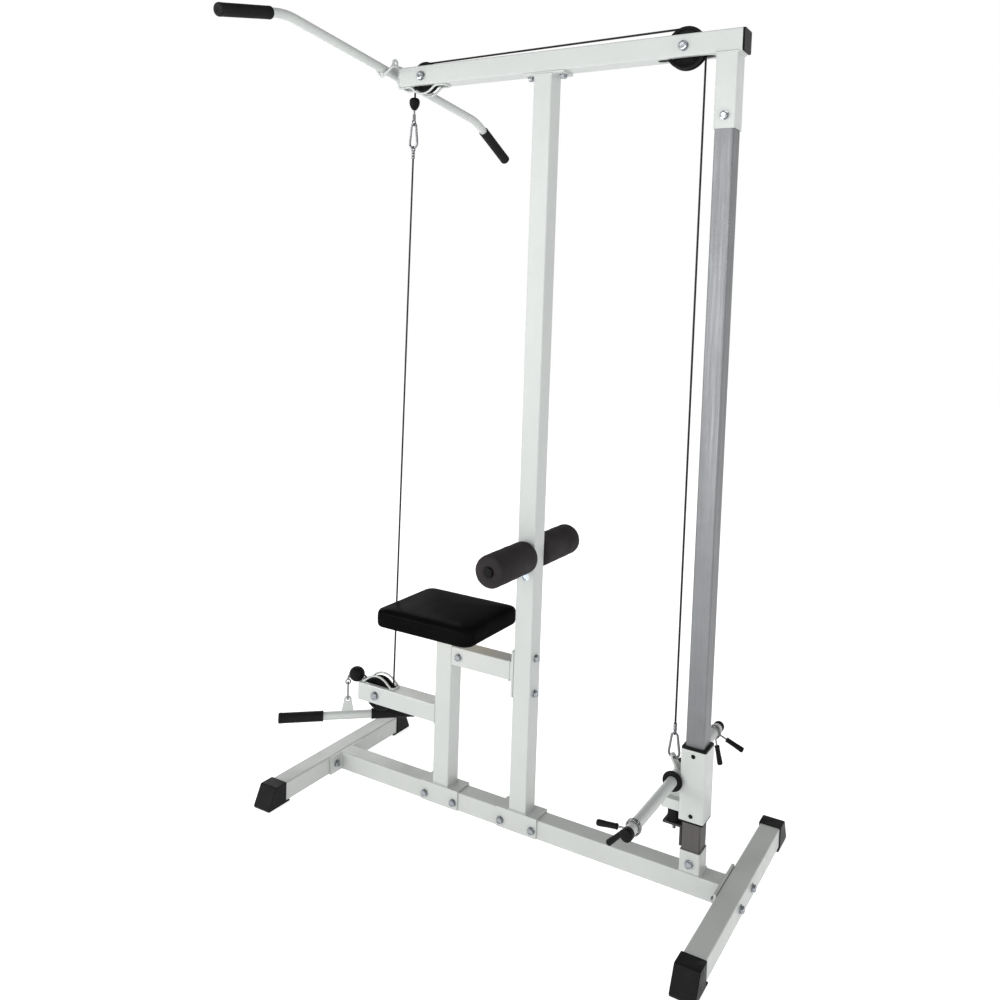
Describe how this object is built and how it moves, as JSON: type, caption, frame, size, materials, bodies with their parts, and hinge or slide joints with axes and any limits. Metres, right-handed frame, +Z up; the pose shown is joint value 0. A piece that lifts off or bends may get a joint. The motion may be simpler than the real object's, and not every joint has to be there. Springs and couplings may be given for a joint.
{
  "type": "lat pulldown machine",
  "caption": "Plate loaded lat pulldown and low row machine with seat, foam knee rollers, sliding weight carriage, cable and pulleys, long pull bar and short low bar.",
  "frame": {"origin": "centre of the bounding box in plan, at floor level", "axes": "+Z up; +X from the low pulley end towards the weight carriage end; +Y to the left of a user who sits facing the upright"},
  "size_m": [1.3398, 1.2074, 2.0133],
  "materials": {
    "paint": "light grey gloss powder coat",
    "zinc": "zinc plated",
    "post": "plated, slightly greased",
    "plastic": "moulded, fine grain",
    "rubber": "matt",
    "bracket": "black satin coat",
    "cable": "plastic coated wire rope",
    "vinyl": "black upholstery vinyl",
    "foam": "closed cell foam sleeve",
    "board": "plywood"
  },
  "bodies": {
    "frame": {"base_beam": "paint", "front_crossbar": "paint", "rear_crossbar": "paint", "foot_cap_front_near": "plastic", "foot_cap_front_far": "plastic", "foot_cap_rear_near": "plastic", "foot_cap_rear_far": "plastic", "main_upright": "paint", "seat_post": "paint", "seat_brace": "paint", "top_beam": "paint", "top_cap_rear": "plastic", "guide_post": "post", "stop_bracket": "bracket", "stop_bumper": "rubber", "front_bolt_near": "zinc", "rear_bolt_near": "zinc", "front_bolt_far": "zinc", "rear_bolt_far": "zinc", "seat_saddle_bolt_a": "zinc", "seat_saddle_bolt_b": "zinc", "upright_saddle_bolt_a": "zinc", "upright_saddle_bolt_b": "zinc", "socket_bolt": "zinc", "sleeve_bolt": "zinc", "brace_bolt": "zinc", "brace_flange_bolt_upper": "zinc", "brace_flange_bolt_lower": "zinc", "axle_front": "zinc", "axle_rear": "zinc", "axle_low": "zinc", "cable_rear": "cable", "cable_top": "cable", "cable_lower": "cable", "cable_low_wrap": "cable", "seat_board": "board", "seat_pad": "vinyl", "knee_tube": "zinc"},
    "carriage": {"weight_carriage": "paint", "carriage_liner": "plastic", "spindle_washer_near": "rubber", "spindle_washer_far": "rubber", "rear_clip": "zinc"},
    "collar_near": {"collar_near": "zinc"},
    "collar_far": {"collar_far": "zinc"},
    "junction": {"ball_upper": "rubber", "junction_clip": "zinc"},
    "low_end": {"ball_low": "rubber", "low_clip": "zinc"},
    "low_bar": {"low_bar": "paint", "low_grip_near": "rubber", "low_grip_far": "rubber"},
    "lat_bar": {"lat_bar": "paint", "lat_grip_near": "rubber", "lat_grip_far": "rubber"},
    "pulley_front": {"pulley_front": "plastic"},
    "pulley_rear": {"pulley_rear": "plastic"},
    "pulley_low": {"pulley_low": "plastic"},
    "roller_near": {"knee_roller_near": "foam"},
    "roller_far": {"knee_roller_far": "foam"}
  },
  "joints": [
    {"name": "carriage_slide", "type": "slide", "parent": "frame", "child": "carriage", "axis": [0, 0, 1], "range_m": [0, 1.15], "deforming": ["cable_rear"]},
    {"name": "junction_slide", "type": "slide", "parent": "frame", "child": "junction", "axis": [0, 0, -1], "range_m": [0, 1.15], "deforming": ["cable_lower"]},
    {"name": "low_end_slide", "type": "slide", "parent": "frame", "child": "low_end", "axis": [-1, 0, 0], "range_m": [0, 1.15]},
    {"name": "low_bar_swing", "type": "hinge", "parent": "low_end", "child": "low_bar", "pos_m": [-0.51453, 0, 0.1986], "axis": [-0.6561, 0.7547, 0], "range_deg": [-25, 25]},
    {"name": "lat_bar_lift", "type": "slide", "parent": "frame", "child": "lat_bar", "axis": [0, 0, 1], "range_m": [0, 0.15]},
    {"name": "pulley_front_spin", "type": "hinge", "parent": "frame", "child": "pulley_front", "pos_m": [-0.29452, 0, 1.938], "axis": [0, -1, 0], "continuous": true},
    {"name": "pulley_rear_spin", "type": "hinge", "parent": "frame", "child": "pulley_rear", "pos_m": [0.42947, 0, 1.938], "axis": [0, -1, 0], "continuous": true},
    {"name": "pulley_low_spin", "type": "hinge", "parent": "frame", "child": "pulley_low", "pos_m": [-0.39652, 0, 0.246], "axis": [0, 1, 0], "continuous": true},
    {"name": "knee_roller_near_spin", "type": "hinge", "parent": "frame", "child": "roller_near", "pos_m": [0.07148, -0.115, 0.72], "axis": [0, 1, 0], "continuous": true},
    {"name": "knee_roller_far_spin", "type": "hinge", "parent": "frame", "child": "roller_far", "pos_m": [0.07148, 0.115, 0.72], "axis": [0, 1, 0], "continuous": true},
    {"name": "collar_near_slide", "type": "slide", "parent": "carriage", "child": "collar_near", "axis": [0, 1, 0], "range_m": [0, 0.19]},
    {"name": "collar_far_slide", "type": "slide", "parent": "carriage", "child": "collar_far", "axis": [0, -1, 0], "range_m": [0, 0.19]}
  ],
  "couplings": [
    {"joint": "junction_slide", "follows": "carriage_slide", "ratio": 1},
    {"joint": "low_end_slide", "follows": "carriage_slide", "ratio": 1},
    {"joint": "pulley_front_spin", "follows": "carriage_slide", "rad_per_m": 27.397},
    {"joint": "pulley_rear_spin", "follows": "carriage_slide", "rad_per_m": 22.222},
    {"joint": "pulley_low_spin", "follows": "carriage_slide", "rad_per_m": 22.222}
  ]
}
